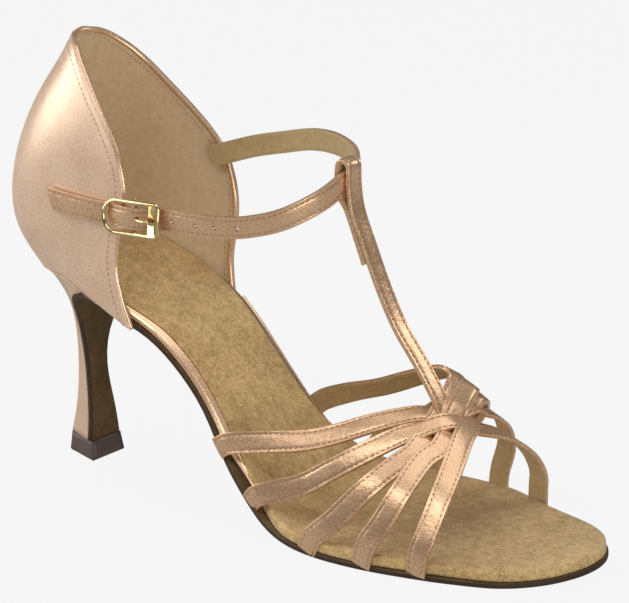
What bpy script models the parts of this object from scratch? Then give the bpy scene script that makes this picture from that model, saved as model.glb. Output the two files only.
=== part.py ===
"""A right-foot ballroom dance sandal with a flared high heel, modelled at its real size in metres.

The shoe stands on its heel tip and forefoot at z = 0. +X runs to the toe, +Y to the inner side of the
foot, and the origin is on the floor under the middle of the heel tip.
"""
import math

import bmesh
import bpy
import numpy as np
from mathutils import Vector

for old in list(bpy.data.objects):
    bpy.data.objects.remove(old, do_unlink=True)

# Driving dimensions of the last and heel, in metres
LAST_LENGTH = 0.2222
BALL_WIDTH = 0.075
HEEL_RISE = 0.0769
SEAT_REACH = 0.0258
TOE_SPRING = 0.0018
SEAT_RADIUS = 0.0255
FEATHER_START = 0.0167
HEEL_TIP_WIDTH = 0.0156
HEEL_TIP_HEIGHT = 0.0063

# Driving dimensions of the sheets, boards and straps
CLEARANCE = 0.0003
SOLE_THICKNESS = 0.0016
BOARD_THICKNESS = 0.0026
SOCK_THICKNESS = 0.0006
SOLE_BEVEL = 0.0004
BOARD_BEVEL = 0.0009
COUNTER_WALL = 0.0016
COUNTER_REACH = 0.0242
COUNTER_HEIGHT = 0.0645
COUNTER_LEAN = 0.0234
CUP_DEPTH = 0.0120
CUP_RISE = 0.0200
VAMP_LIFT = 0.044
VAMP_BASE = 0.0080
VAMP_STRAP_WIDTH = 0.0070
T_BAR_WIDTH = 0.0066
ANKLE_STRAP_WIDTH = 0.0070
STRAP_THICKNESS = 0.0014

# Driving dimensions of the buckle and the punched holes
BUCKLE_LENGTH = 0.0232
BUCKLE_HEIGHT = 0.0116
BUCKLE_WIRE = 0.0014
ROLLER_WIDTH = 0.0034
PRONG_WIRE = 0.0011
TAB_WIDTH = 0.0054
TAB_THICKNESS = 0.0010
HOLE_RADIUS = 0.0010

LATERAL, MEDIAL = -1, 1


class Table:
    """Rows of named columns, each read as a smooth curve that never overshoots its rows."""

    def __init__(self, names, rows):
        self.names = names.split()
        self.rows = np.array(rows, float)

    def column(self, name):
        return self.rows[:, self.names.index(name)]

    def __call__(self, name, at):
        key, values = self.rows[:, 0], self.column(name)
        step = np.diff(key)
        rise = np.diff(values) / step
        slopes = [rise[0]]
        for i in range(1, len(rise)):
            if rise[i - 1] * rise[i] <= 0:
                slopes.append(0.0)
                continue
            near = 2 * step[i] + step[i - 1]
            far = step[i] + 2 * step[i - 1]
            slopes.append((near + far) / (near / rise[i - 1] + far / rise[i]))
        slopes.append(rise[-1])
        at = min(max(at, key[0]), key[-1])
        i = min(int(np.searchsorted(key, at, side="right")) - 1, len(rise) - 1)
        u = (at - key[i]) / step[i]
        start = values[i] * (1 + 2 * u) * (1 - u) ** 2 + values[i + 1] * u * u * (3 - 2 * u)
        turn = slopes[i] * u * (1 - u) ** 2 - slopes[i + 1] * u * u * (1 - u)
        return start + turn * step[i]


# The last, heel to toe: share of its length; tread height as a share of the heel rise; toe spring share;
# half widths, and how far the counter's lining, the board and the sock lie inside them, / ball width
LAST = Table(
    "along rise spring lateral medial cup board sock",
    [
        (0.000, 1.000, 0.00, 0.307, 0.301, 0.0047, 0.0227, 0.0253),
        (0.028, 0.974, 0.00, 0.308, 0.305, 0.0047, 0.0293, 0.0320),
        (0.062, 0.949, 0.00, 0.309, 0.308, 0.0047, 0.0400, 0.0427),
        (0.100, 0.919, 0.00, 0.311, 0.315, 0.0047, 0.0467, 0.0493),
        (0.139, 0.881, 0.00, 0.316, 0.323, 0.0047, 0.0493, 0.0520),
        (0.185, 0.830, 0.00, 0.323, 0.333, 0.0047, 0.0360, 0.0387),
        (0.229, 0.775, 0.00, 0.312, 0.336, -0.0027, 0.0160, 0.0240),
        (0.274, 0.714, 0.00, 0.296, 0.331, -0.0160, 0.0047, 0.0253),
        (0.303, 0.679, 0.00, 0.291, 0.317, -0.0160, 0.0040, 0.0267),
        (0.334, 0.616, 0.00, 0.283, 0.299, -0.0060, 0.0033, 0.0267),
        (0.365, 0.532, 0.00, 0.277, 0.287, 0.0000, 0.0029, 0.0267),
        (0.388, 0.459, 0.00, 0.273, 0.283, 0.0000, 0.0029, 0.0267),
        (0.420, 0.356, 0.00, 0.304, 0.285, 0.0000, 0.0040, 0.0267),
        (0.452, 0.251, 0.00, 0.341, 0.304, 0.0000, 0.0120, 0.0267),
        (0.478, 0.190, 0.00, 0.372, 0.330, 0.0000, 0.0400, 0.0267),
        (0.501, 0.144, 0.00, 0.397, 0.355, 0.0000, 0.0440, 0.0253),
        (0.530, 0.086, 0.00, 0.428, 0.398, 0.0000, 0.0453, 0.0253),
        (0.566, 0.040, 0.00, 0.461, 0.452, 0.0000, 0.0453, 0.0253),
        (0.613, 0.013, 0.00, 0.490, 0.513, 0.0000, 0.0453, 0.0253),
        (0.665, 0.002, 0.00, 0.496, 0.545, 0.0000, 0.0453, 0.0253),
        (0.725, 0.000, 0.00, 0.488, 0.550, 0.0000, 0.0467, 0.0267),
        (0.820, 0.000, 0.00, 0.440, 0.466, 0.0000, 0.0540, 0.0340),
        (0.910, 0.000, 0.15, 0.375, 0.387, 0.0000, 0.0480, 0.0280),
        (0.968, 0.000, 0.60, 0.360, 0.365, 0.0000, 0.0453, 0.0253),
        (1.000, 0.000, 1.00, 0.357, 0.360, 0.0000, 0.0453, 0.0253),
    ],
)
HEEL_ROUND_SHARE = SEAT_RADIUS / LAST_LENGTH
TOE_ROUND_SHARE = 0.125
TOE_SQUARENESS = 2.2

# The sole's outer line from the heel tip up the breast and under the seat: height as a share of the heel
# rise, reach ahead of the tip's middle as a share of the seat's reach, half widths as shares of the ball
BREAST = [
    (0.086, 0.217, 0.095, 0.095),
    (0.169, 0.209, 0.083, 0.083),
    (0.247, 0.182, 0.073, 0.073),
    (0.338, 0.140, 0.061, 0.061),
    (0.436, 0.116, 0.061, 0.061),
    (0.533, 0.120, 0.083, 0.083),
    (0.611, 0.163, 0.119, 0.119),
    (0.683, 0.225, 0.173, 0.173),
    (0.738, 0.318, 0.233, 0.233),
    (0.768, 0.446, 0.270, 0.273),
    (0.776, 0.659, 0.292, 0.300),
    (0.755, 0.930, 0.302, 0.318),
    (0.728, 1.202, 0.299, 0.332),
]
BREAST_LEVELS = 9
WEDGE_ROWS = 12
SOLE_FIRST_SHARE = 0.290

# The back of the heel at each level of the breast: reach behind the tip's middle as a share of the seat's
# reach, and the half width of its rounded back as a share of the breast's half width
HEEL_BACK = [(0.300, 0.46), (0.236, 0.50), (0.200, 0.52), (0.178, 0.56), (0.174, 0.60), (0.182, 0.60),
             (0.205, 0.62), (0.250, 0.66), (0.320, 0.72)]
HEEL_TIP_BACK = 0.333
HEEL_TIP_FRONT = 0.256
HEEL_TIP_ROUND = 0.46

# The counter's outline by height above the seat, as a share of its own height: share of the lean to the
# front, half widths as shares of the seat's, and the reach of its front edges as shares of the last
COUNTER = Table(
    "up lean outer inner lateral medial",
    [
        (-0.36, 0.000, 1.000, 0.970, 0.288, 0.292),
        (-0.18, 0.000, 1.000, 0.970, 0.269, 0.288),
        (-0.03, 0.000, 1.000, 0.970, 0.261, 0.296),
        (0.11, 0.000, 1.000, 0.970, 0.266, 0.302),
        (0.20, 0.000, 1.000, 0.965, 0.272, 0.300),
        (0.34, 0.060, 1.000, 0.950, 0.279, 0.288),
        (0.50, 0.205, 0.980, 0.915, 0.281, 0.279),
        (0.64, 0.385, 0.930, 0.850, 0.279, 0.277),
        (0.78, 0.615, 0.830, 0.760, 0.277, 0.275),
        (0.89, 0.833, 0.720, 0.675, 0.277, 0.275),
        (1.00, 1.000, 0.630, 0.580, 0.277, 0.275),
    ],
)
# The counter's edges by share of the way from the middle of the back to the front edge: the height of the
# topline above the seat as a share of the counter's height, the seam under it as a share of the heel rise,
# and how deep the cup tucks under the seat as a share of its depth
EDGES = Table(
    "side lateral medial seam tuck",
    [
        (0.00, 1.010, 1.010, 0.858, 1.00),
        (0.20, 1.005, 0.982, 0.856, 0.90),
        (0.40, 0.980, 0.898, 0.856, 0.71),
        (0.50, 0.936, 0.840, 0.860, 0.54),
        (0.60, 0.879, 0.779, 0.866, 0.40),
        (0.70, 0.817, 0.712, 0.861, 0.25),
        (0.80, 0.738, 0.632, 0.827, 0.10),
        (0.90, 0.624, 0.530, 0.772, 0.03),
        (0.95, 0.536, 0.462, 0.746, 0.01),
        (0.98, 0.455, 0.402, 0.725, 0.00),
        (1.00, 0.350, 0.335, 0.712, 0.00),
    ],
)
COUNTER_ROUND_SHARE = 0.60
COUNTER_TOP_ROUND = 0.667
WEDGE_SHARE = 0.88
FOLD_START = 0.0135
FOLD_RUN = 0.005

# Strap centre lines, edge of the sole to edge of the sole: share of the last's length, share of the half
# width (the outer side is negative), height above the straps' base as a share of the vamp's lift
VAMP_STRAPS = {
    "rear_outer_to_front_inner": [
        (0.445, -1.06, -0.110), (0.465, -1.00, 0.020), (0.509, -0.83, 0.229), (0.577, -0.61, 0.457),
        (0.621, -0.48, 0.560), (0.661, -0.35, 0.660), (0.699, -0.19, 0.727), (0.732, -0.05, 0.761),
        (0.757, 0.08, 0.748), (0.760, 0.275, 0.735), (0.759, 0.44, 0.688), (0.758, 0.595, 0.622),
        (0.756, 0.76, 0.497), (0.740, 0.91, 0.285), (0.718, 0.985, 0.040), (0.712, 1.000, -0.110),
    ],
    "second_outer_to_tip_inner": [
        (0.519, -1.00, -0.110), (0.538, -0.98, 0.000), (0.599, -0.77, 0.215), (0.643, -0.66, 0.385),
        (0.681, -0.51, 0.521), (0.715, -0.32, 0.632), (0.744, -0.15, 0.680), (0.762, -0.03, 0.688),
        (0.780, 0.11, 0.660), (0.784, 0.345, 0.590), (0.790, 0.60, 0.493), (0.799, 0.835, 0.335),
        (0.801, 0.965, 0.165), (0.796, 1.00, 0.020), (0.792, 1.015, -0.110),
    ],
    "rear_inner_to_middle_outer": [
        (0.446, 1.09, -0.110), (0.458, 1.07, 0.040), (0.508, 0.86, 0.298), (0.573, 0.66, 0.580),
        (0.640, 0.515, 0.790), (0.700, 0.43, 0.920), (0.727, 0.36, 0.905), (0.740, 0.20, 0.840),
        (0.744, 0.06, 0.780), (0.747, -0.15, 0.680), (0.746, -0.39, 0.562), (0.733, -0.56, 0.480),
        (0.714, -0.78, 0.351), (0.680, -0.955, 0.120), (0.650, -1.000, -0.030), (0.638, -1.000, -0.110),
    ],
    "second_inner_to_fourth_outer": [
        (0.524, 1.04, -0.110), (0.545, 1.00, 0.060), (0.610, 0.875, 0.350), (0.670, 0.73, 0.600),
        (0.715, 0.565, 0.780), (0.742, 0.41, 0.862), (0.751, 0.285, 0.832), (0.763, 0.09, 0.768),
        (0.774, -0.10, 0.690), (0.779, -0.28, 0.605), (0.772, -0.48, 0.545), (0.769, -0.79, 0.374),
        (0.756, -0.955, 0.165), (0.738, -1.000, 0.010), (0.729, -1.000, -0.110),
    ],
    "third_inner_to_front_outer": [
        (0.608, 1.03, -0.110), (0.622, 1.015, 0.020), (0.664, 0.90, 0.310), (0.712, 0.735, 0.570),
        (0.743, 0.545, 0.745), (0.757, 0.375, 0.790), (0.771, 0.225, 0.735), (0.788, 0.07, 0.695),
        (0.796, -0.10, 0.652), (0.810, -0.38, 0.535), (0.821, -0.69, 0.371), (0.821, -0.94, 0.130),
        (0.815, -1.000, 0.000), (0.812, -1.000, -0.110),
    ],
}
VAMP_FORWARD_LEAN = 0.5

# The T-bar's outer face from the knot to its loop: share of the last's length, height as a share of the
# heel rise above the floor
T_BAR = [(0.755, 0.497), (0.741, 0.586), (0.710, 0.706), (0.671, 0.853), (0.642, 1.007), (0.618, 1.165),
         (0.600, 1.290), (0.594, 1.390)]
T_BAR_SIDE = 0.002
T_BAR_LOOP_GAP = 0.0008
T_BAR_TAIL = [(0.600, 1.290), (0.618, 1.165), (0.630, 1.080)]

# The ankle strap's middle line from the inner front edge of the counter, round the instep to the tail on
# the outer side: share of the last's length, half width as a share of the ball width, height / heel rise
ANKLE_STRAP = [
    (0.262, 0.316, 1.300), (0.287, 0.318, 1.318), (0.336, 0.326, 1.368), (0.386, 0.330, 1.407),
    (0.445, 0.318, 1.450),
    (0.494, 0.290, 1.463), (0.539, 0.232, 1.455), (0.570, 0.155, 1.440), (0.5840, 0.060, 1.420),
    (0.5852, -0.040, 1.395), (0.580, -0.130, 1.362), (0.561, -0.215, 1.318), (0.538, -0.270, 1.283),
    (0.506, -0.315, 1.256), (0.471, -0.340, 1.238), (0.409, -0.352, 1.222), (0.362, -0.351, 1.218),
    (0.334, -0.354, 1.209), (0.310, -0.381, 1.205), (0.284, -0.381, 1.202), (0.259, -0.363, 1.199),
    (0.230, -0.366, 1.198), (0.185, -0.368, 1.203), (0.152, -0.367, 1.209),
]
TAIL_SLANT = 0.0015
STRAP_HOLES = (0.3148, 0.3708, 0.4130, 0.4460, 0.4806)

# The buckle on the strap's outer side: middle of the frame as shares of the last's length, ball width and
# heel rise, how far its foot leans out and its front rises, and how far its bars lie behind its face
BUCKLE_ALONG, BUCKLE_ACROSS, BUCKLE_UP = 0.3040, -0.3815, 1.2060
BUCKLE_LEAN = 0.0006
BUCKLE_RISE = 0.0006
CENTRE_BAR_DEEP = 0.0027


def last_x(along):
    return -SEAT_REACH + along * LAST_LENGTH


def along_of(x):
    return (x + SEAT_REACH) / LAST_LENGTH


def tread(x):
    """Height of the sole's underside at x."""
    share = along_of(x)
    return HEEL_RISE * LAST("rise", share) + TOE_SPRING * LAST("spring", share)


def tread_normal(x):
    """Upward normal of the tread line at x, as its x and z parts."""
    near = 0.0005
    slope = (tread(x + near) - tread(x - near)) / (2 * near)
    return -slope / math.hypot(slope, 1), 1 / math.hypot(slope, 1)


def half_width(x, side):
    """Half width of the last at x, before its ends are rounded."""
    return BALL_WIDTH * LAST("lateral" if side == LATERAL else "medial", along_of(x))


def end_rounding(along):
    heel = min(max(1 - (along - FEATHER_START) / HEEL_ROUND_SHARE, 0), 1)
    toe = min(max(1 - (1 - along) / TOE_ROUND_SHARE, 0), 1)
    return math.sqrt(1 - heel**2) * math.sqrt(1 - toe**TOE_SQUARENESS)


def on_last(x, y, depth):
    """A point at a depth above the tread surface, measured square to it."""
    lean, up = tread_normal(x)
    return Vector((x + lean * depth, y, tread(x) + up * depth))


def smooth(rows, steps):
    """A Catmull-Rom curve through rows of numbers, with a number of steps between neighbours."""
    rows = [np.array(row, float) for row in rows]
    rows = [2 * rows[0] - rows[1], *rows, 2 * rows[-1] - rows[-2]]
    points = []
    for a, b, c, d in zip(rows, rows[1:], rows[2:], rows[3:]):
        for i in range(steps):
            u = i / steps
            curve = 2 * b + (c - a) * u + (2 * a - 5 * b + 4 * c - d) * u**2 + (3 * b - a - 3 * c + d) * u**3
            points.append(0.5 * curve)
    points.append(rows[-2])
    return points


def material(name, colour, roughness, metallic=0.0):
    made = bpy.data.materials.new(name)
    made.use_nodes = True
    shader = made.node_tree.nodes["Principled BSDF"]
    shader.inputs["Base Color"].default_value = (*colour, 1.0)
    shader.inputs["Roughness"].default_value = roughness
    shader.inputs["Metallic"].default_value = metallic
    return made


SATIN = material("satin", (0.78, 0.55, 0.42), 0.35)
SOLE_SUEDE = material("sole_suede", (0.09, 0.055, 0.035), 0.9)
SOCK_SUEDE = material("sock_suede", (0.42, 0.32, 0.18), 0.9)
TIP_PLASTIC = material("tip_plastic", (0.10, 0.06, 0.05), 0.5)
GOLD = material("gold", (0.85, 0.70, 0.42), 0.2, 1.0)


def solid(name, points, faces, finish):
    """A closed object from points and faces, its faces turned outward."""
    mesh = bmesh.new()
    made = [mesh.verts.new(p) for p in points]
    for face in faces:
        mesh.faces.new([made[i] for i in face])
    bmesh.ops.recalc_face_normals(mesh, faces=mesh.faces)
    bmesh.ops.triangulate(mesh, faces=mesh.faces)
    data = bpy.data.meshes.new(name)
    mesh.to_mesh(data)
    mesh.free()
    data.materials.append(finish)
    data.shade_smooth()
    data.set_sharp_from_angle(angle=math.radians(40))
    made = bpy.data.objects.new(name, data)
    bpy.context.scene.collection.objects.link(made)
    return made


def loft(name, rings, finish, ladder=False):
    """A closed solid through rings of points. The end rings are filled flat, or with rungs across them."""
    count = len(rings[0])
    points = [p for ring in rings for p in ring]
    faces = []
    for row in range(len(rings) - 1):
        for i in range(count):
            j = (i + 1) % count
            faces.append((row * count + i, row * count + j, (row + 1) * count + j, (row + 1) * count + i))
    for row in (0, len(rings) - 1):
        start = row * count
        if ladder:
            for i in range((count - 1) // 2):
                far = count - 1 - i
                if far - 1 > i + 1:
                    faces.append((start + i, start + i + 1, start + far - 1, start + far))
                else:
                    faces.append((start + i, start + i + 1, start + far))
        else:
            faces.append(tuple(range(start, start + count)))
    return solid(name, points, faces, finish)


def outline_ring(inset, depth, count=44):
    """A ring round the last, heel to toe on the outer side and back on the inner side."""
    plan = []
    for side in (LATERAL, MEDIAL):
        line = []
        for i in range(count + 1):
            share = 0.5 - 0.5 * math.cos(math.pi * (i + 0.4) / (count + 0.8))
            share = FEATHER_START + (1 - FEATHER_START) * share
            x = last_x(share)
            line.append((x, side * half_width(x, side) * end_rounding(share)))
        plan += line if side == LATERAL else line[::-1]
    ring = []
    for i, (x, y) in enumerate(plan):
        before, after = plan[i - 1], plan[(i + 1) % len(plan)]
        run, turn = after[0] - before[0], after[1] - before[1]
        size = math.hypot(run, turn)
        share = along_of(x)
        in_by = inset(share)
        x, y = x - turn / size * in_by, y + run / size * in_by
        ring.append(on_last(x, y, depth(along_of(x))))
    return ring


def constant(value):
    return lambda share: value


def inset_column(name, extra=0.0):
    return lambda share: LAST(name, share) * BALL_WIDTH + extra


# The soft leather sole runs from the toe along the waist, under the seat and down the heel's breast


def sole_stations():
    """The sole's outer line as rows of x, height, outer and inner half width, tip of the heel first."""
    rows = [(x * SEAT_REACH, z * HEEL_RISE, a * BALL_WIDTH, b * BALL_WIDTH) for z, x, a, b in BREAST]
    count = 40
    for i in range(count + 1):
        share = SOLE_FIRST_SHARE + (0.9996 - SOLE_FIRST_SHARE) * math.sin(0.5 * math.pi * i / count)
        x = last_x(share)
        ends = end_rounding(share)
        rows.append((x, tread(x), half_width(x, LATERAL) * ends, half_width(x, MEDIAL) * ends))
    return rows


def inward(rows, i):
    """Unit vector from the sole's outer face to its inner face at a station, as x and z parts."""
    before, after = rows[max(i - 1, 0)], rows[min(i + 1, len(rows) - 1)]
    run, climb = after[0] - before[0], after[1] - before[1]
    size = math.hypot(run, climb)
    return -climb / size, run / size


def make_outsole():
    rows = sole_stations()
    rings = []
    for i, (x, z, outer, inner) in enumerate(rows):
        lean, up = inward(rows, i)
        bevel = min(SOLE_BEVEL, outer * 0.3)

        def at(y, depth, x=x, z=z, lean=lean, up=up):
            return Vector((x + lean * depth, y, z + up * depth))

        rings.append(
            [
                at(-outer + bevel, 0),
                at(inner - bevel, 0),
                at(inner, bevel),
                at(inner, SOLE_THICKNESS),
                at(-outer, SOLE_THICKNESS),
                at(-outer, bevel),
            ]
        )
    return loft("outsole", rings, SOLE_SUEDE)


def counter_point(side, way, z, inset=0.0):
    """A point of the counter's outer face: way is 0 at the middle of the back and 1 at the front edge."""
    up = (z - HEEL_RISE) / COUNTER_HEIGHT
    width = COUNTER("outer" if side == LATERAL else "inner", up)
    back = COUNTER_LEAN * COUNTER("lean", up) - COUNTER_REACH
    radius = SEAT_RADIUS * (COUNTER_TOP_ROUND + (1 - COUNTER_TOP_ROUND) * (2 * COUNTER("outer", up) - 1))
    front = last_x(COUNTER("lateral" if side == LATERAL else "medial", up))
    if way < COUNTER_ROUND_SHARE:
        turn = 0.5 * math.pi * way / COUNTER_ROUND_SHARE
        x = back + radius * (1 - math.cos(turn))
    else:
        turn = 0.5 * math.pi
        share = (way - COUNTER_ROUND_SHARE) / (1 - COUNTER_ROUND_SHARE)
        x = back + radius + (front - back - radius) * share
    inside = LAST("cup", along_of(x)) * BALL_WIDTH
    reach = (half_width(x, side) - inside + CLEARANCE + COUNTER_WALL) * width * math.sin(turn)
    above = z - HEEL_RISE * EDGES("seam", way)
    left = max(1 - above / CUP_RISE, 0)
    depth = CUP_DEPTH * EDGES("tuck", way)
    tuck = depth * left**2 + inset * math.hypot(1, 2 * depth * left / CUP_RISE)
    return Vector((x + tuck * math.cos(turn), side * (reach - tuck * math.sin(turn)), z))


COUNTER_WAYS = [
    0, 0.07, 0.14, 0.21, 0.28, 0.35, 0.42, 0.48, 0.54, 0.60, 0.68, 0.76, 0.84, 0.91, 0.955, 0.985, 1.0
]
COUNTER_ROWS = [0, 0.03, 0.07, 0.12, 0.18, 0.25, 0.34, 0.45, 0.56, 0.67, 0.78, 0.89, 1.0]


def counter_columns():
    """Sides and shares round the counter, outer front edge to inner front edge."""
    outer = [(LATERAL, way) for way in reversed(COUNTER_WAYS)]
    return outer + [(MEDIAL, way) for way in COUNTER_WAYS[1:]]


def make_quarter():
    """The counter: one shell whose wall grows inward, open at the top and front and under the seat."""
    columns = counter_columns()
    points = []
    for share in COUNTER_ROWS:
        for side, way in columns:
            low = HEEL_RISE * EDGES("seam", way)
            top = HEEL_RISE + COUNTER_HEIGHT * EDGES("lateral" if side == LATERAL else "medial", way)
            points.append(counter_point(side, way, low + (top - low) * share))
    mesh = bmesh.new()
    made = [mesh.verts.new(p) for p in points]
    wide = len(columns)
    for row in range(len(COUNTER_ROWS) - 1):
        for i in range(wide - 1):
            start = row * wide + i
            mesh.faces.new([made[k] for k in (start, start + wide, start + 1 + wide, start + 1)])
    data = bpy.data.meshes.new("quarter")
    mesh.to_mesh(data)
    mesh.free()
    data.materials.append(SATIN)
    data.shade_smooth()
    shell = bpy.data.objects.new("quarter", data)
    bpy.context.scene.collection.objects.link(shell)
    wall = shell.modifiers.new("wall", "SOLIDIFY")
    wall.thickness = COUNTER_WALL
    wall.offset = -1.0
    wall.use_even_offset = True
    return shell


def heel_ring(front, level, half, back, round_half, deep=8):
    """One level of the heel column: outer front corner, side, rounded back, side, inner front corner."""
    ring = []
    total = deep * 2
    for i in range(total + 1):
        share = i / total
        side = LATERAL if share < 0.5 else MEDIAL
        from_back = abs(share - 0.5) * 2
        turn = min(from_back / 0.5, 1) * 0.5 * math.pi
        if from_back <= 0.5:
            x = back + round_half * (1 - math.cos(turn))
            y = round_half * math.sin(turn)
        else:
            forward = (from_back - 0.5) / 0.5
            x = back + round_half + (front - back - round_half) * forward
            y = round_half + (half - round_half) * forward
        ring.append(Vector((x, side * y, level)))
    return ring


def seam_ring(inset, raised, deep=8):
    """The counter's lower edge as seen from the heel: raised is 0 at the seam and 1 under the board."""
    ring = []
    total = deep * 2
    for i in range(total + 1):
        share = i / total
        side = LATERAL if share < 0.5 else MEDIAL
        way = abs(share - 0.5) * 2 * WEDGE_SHARE
        seam = HEEL_RISE * EDGES("seam", way) - CLEARANCE
        point = counter_point(side, way, seam, inset)
        for _ in range(4):
            under = on_last(point.x, 0, SOLE_THICKNESS).z
            level = seam + (under - seam) * raised
            point = counter_point(side, way, level, inset)
        ring.append(point)
    return ring


def make_heel_block():
    """The satin covered heel: a flared column whose top fills the cup under the seat."""
    rows = sole_stations()
    inner_line = []
    for i in range(WEDGE_ROWS):
        x, z, outer, inner = rows[i]
        lean, up = inward(rows, i)
        depth = SOLE_THICKNESS + CLEARANCE
        inner_line.append((x + lean * depth, z + up * depth, outer, inner))
    rings = []
    for i in range(BREAST_LEVELS):
        x, z, outer, inner = inner_line[i]
        if i == 0:
            z = HEEL_TIP_HEIGHT + CLEARANCE
        back, round_share = HEEL_BACK[i]
        rings.append(heel_ring(x, z, outer, -back * SEAT_REACH, round_share * outer))
    low, seam = rings[-1], seam_ring(0.0, 0.0)
    seam[0] = Vector((inner_line[-1][0], seam[0].y, inner_line[-1][1]))
    seam[-1] = Vector((inner_line[-1][0], seam[-1].y, inner_line[-1][1]))
    between = WEDGE_ROWS - BREAST_LEVELS
    for k in range(1, between):
        share = k / between
        x, z, outer, inner = inner_line[BREAST_LEVELS - 1 + k]
        ring = [a.lerp(b, share) for a, b in zip(low, seam)]
        middle = (len(ring) - 1) / 2
        for end, corner in ((0, Vector((x, -outer, z))), (len(ring) - 1, Vector((x, inner, z)))):
            shift = corner - ring[end]
            for j, point in enumerate(ring):
                near = max(1 - abs(j - end) / middle, 0) ** 2
                ring[j] = point + shift * near
        rings.append(ring)
    rings.append(seam)
    step = COUNTER_WALL + 2 * CLEARANCE
    for raised in (0.0, 0.5, 1.0):
        rings.append(seam_ring(step, raised))
    for ring in rings[-3:-1]:
        ring[0].z, ring[-1].z = seam[0].z, seam[-1].z
    return loft("heel_block", rings, SATIN, ladder=True)


def make_heel_tip():
    """The worn-down lift under the heel, a moulded D."""
    half = HEEL_TIP_WIDTH / 2
    front, back = HEEL_TIP_FRONT * SEAT_REACH, -HEEL_TIP_BACK * SEAT_REACH
    upper_front, upper_half = BREAST[0][1] * SEAT_REACH, BREAST[0][2] * BALL_WIDTH
    upper_back = -HEEL_BACK[0][0] * SEAT_REACH
    bevel = CLEARANCE
    rings = [
        heel_ring(front - bevel, 0.0, half - bevel, back + bevel, HEEL_TIP_ROUND * half - bevel),
        heel_ring(front, bevel, half, back, HEEL_TIP_ROUND * half),
        heel_ring(upper_front, HEEL_TIP_HEIGHT, upper_half, upper_back, HEEL_BACK[0][1] * upper_half),
    ]
    return loft("heel_tip", rings, TIP_PLASTIC)


def make_board():
    low = SOLE_THICKNESS + CLEARANCE
    high = low + BOARD_THICKNESS
    flat = inset_column("board")
    cut = inset_column("board", BOARD_BEVEL)
    rings = [
        outline_ring(cut, constant(low)),
        outline_ring(flat, constant(low + BOARD_BEVEL)),
        outline_ring(flat, constant(high - BOARD_BEVEL)),
        outline_ring(cut, constant(high)),
    ]
    return loft("insole_board", rings, SATIN, ladder=True)


def make_sock():
    """The suede sock: inside the rim of the board at the waist, and folded over its edge in the forefoot."""
    board_top = SOLE_THICKNESS + CLEARANCE + BOARD_THICKNESS
    under = board_top + CLEARANCE
    high = under + SOCK_THICKNESS
    shallow, skirt = 0.15 * CLEARANCE, BOARD_THICKNESS

    def fold(share):
        covered = LAST("board", share) - LAST("sock", share)
        return under - shallow - skirt * min(max((covered - FOLD_START) / FOLD_RUN, 0), 1)

    inner = inset_column("sock", SOCK_THICKNESS)
    rings = [
        outline_ring(inner, constant(under)),
        outline_ring(inner, fold),
        outline_ring(inset_column("sock"), fold),
        outline_ring(inset_column("sock"), constant(high - SOCK_THICKNESS / 2)),
        outline_ring(inset_column("sock", SOCK_THICKNESS / 2), constant(high)),
    ]
    return loft("insole_sock", rings, SOCK_SUEDE, ladder=True)


def sweep(name, line, outward, width, thickness, finish, footed=False, slant=0.0):
    """A strap: a flat section with rounded edges carried along a line, its outer face on that line."""
    rings = []
    edge = thickness * 0.45
    for i, point in enumerate(line):
        ahead = line[min(i + 1, len(line) - 1)] - line[max(i - 1, 0)]
        ahead.normalize()
        out = outward[i] - ahead * outward[i].dot(ahead)
        out.normalize()
        across = ahead.cross(out)
        half = width / 2
        section = [
            (-half, 0.5), (edge - half, 0), (half - edge, 0), (half, 0.5), (half - edge, 1), (edge - half, 1)
        ]
        ring = [point + across * a - out * (thickness * b) for a, b in section]
        if footed and i in (0, len(line) - 1):
            for p in ring:
                p.z = tread(p.x) + (SOLE_THICKNESS + 1.5 * CLEARANCE) / tread_normal(p.x)[1]
        if slant and i == len(line) - 1:
            for p, (a, _) in zip(ring, section):
                p += ahead * (slant * a / half)
        rings.append(ring)
    return loft(name, rings, finish)


def tube(name, line, radius, finish, sides=8):
    """A round bar along a line of points that all lie in one upright plane through the line."""
    rings = []
    for i, point in enumerate(line):
        ahead = (line[min(i + 1, len(line) - 1)] - line[max(i - 1, 0)]).normalized()
        aside = ahead.orthogonal() if abs(ahead.z) > 0.99 else Vector((0, 0, 1))
        aside = (aside - ahead * aside.dot(ahead)).normalized()
        third = ahead.cross(aside)
        turns = [2 * math.pi * (k + 0.5) / sides for k in range(sides)]
        rings.append([point + (aside * math.cos(t) + third * math.sin(t)) * radius for t in turns])
    return loft(name, rings, finish)


def cut(body, other, operation):
    """Join another piece to a body, or take it away, and keep the other out of the result."""
    join = body.modifiers.new(other.name, "BOOLEAN")
    join.operation = operation
    join.solver = "EXACT"
    join.object = other
    other.hide_render = True
    other.display_type = "WIRE"


def vamp_place(along, across, lift):
    x = last_x(along)
    side = LATERAL if across < 0 else MEDIAL
    y = side * abs(across) * half_width(x, side)
    return Vector((x, y, tread(x) + VAMP_BASE + lift * VAMP_LIFT))


def vamp_outward(point):
    """Rough outward direction of the forefoot's surface, for turning the straps' faces."""
    above = max(point.z - tread(point.x) - SOLE_THICKNESS, 0.0)
    up = above / VAMP_LIFT**2
    return Vector((VAMP_FORWARD_LEAN * up, point.y / (BALL_WIDTH / 2) ** 2, up))


def make_upper_straps():
    """Five satin straps woven over the toes, with the T-bar sewn under their knot, joined as one solid."""
    pieces = []
    for name, rows in VAMP_STRAPS.items():
        line = [Vector(p) for p in smooth([tuple(vamp_place(*row)) for row in rows], 2)]
        outward = [vamp_outward(p) for p in line]
        pieces.append(sweep(name, line, outward, VAMP_STRAP_WIDTH, STRAP_THICKNESS, SATIN, footed=True))
    pieces.append(make_t_bar())
    body = pieces[0]
    body.name = "upper_straps"
    for piece in pieces[1:]:
        cut(body, piece, "UNION")
    return body


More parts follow.
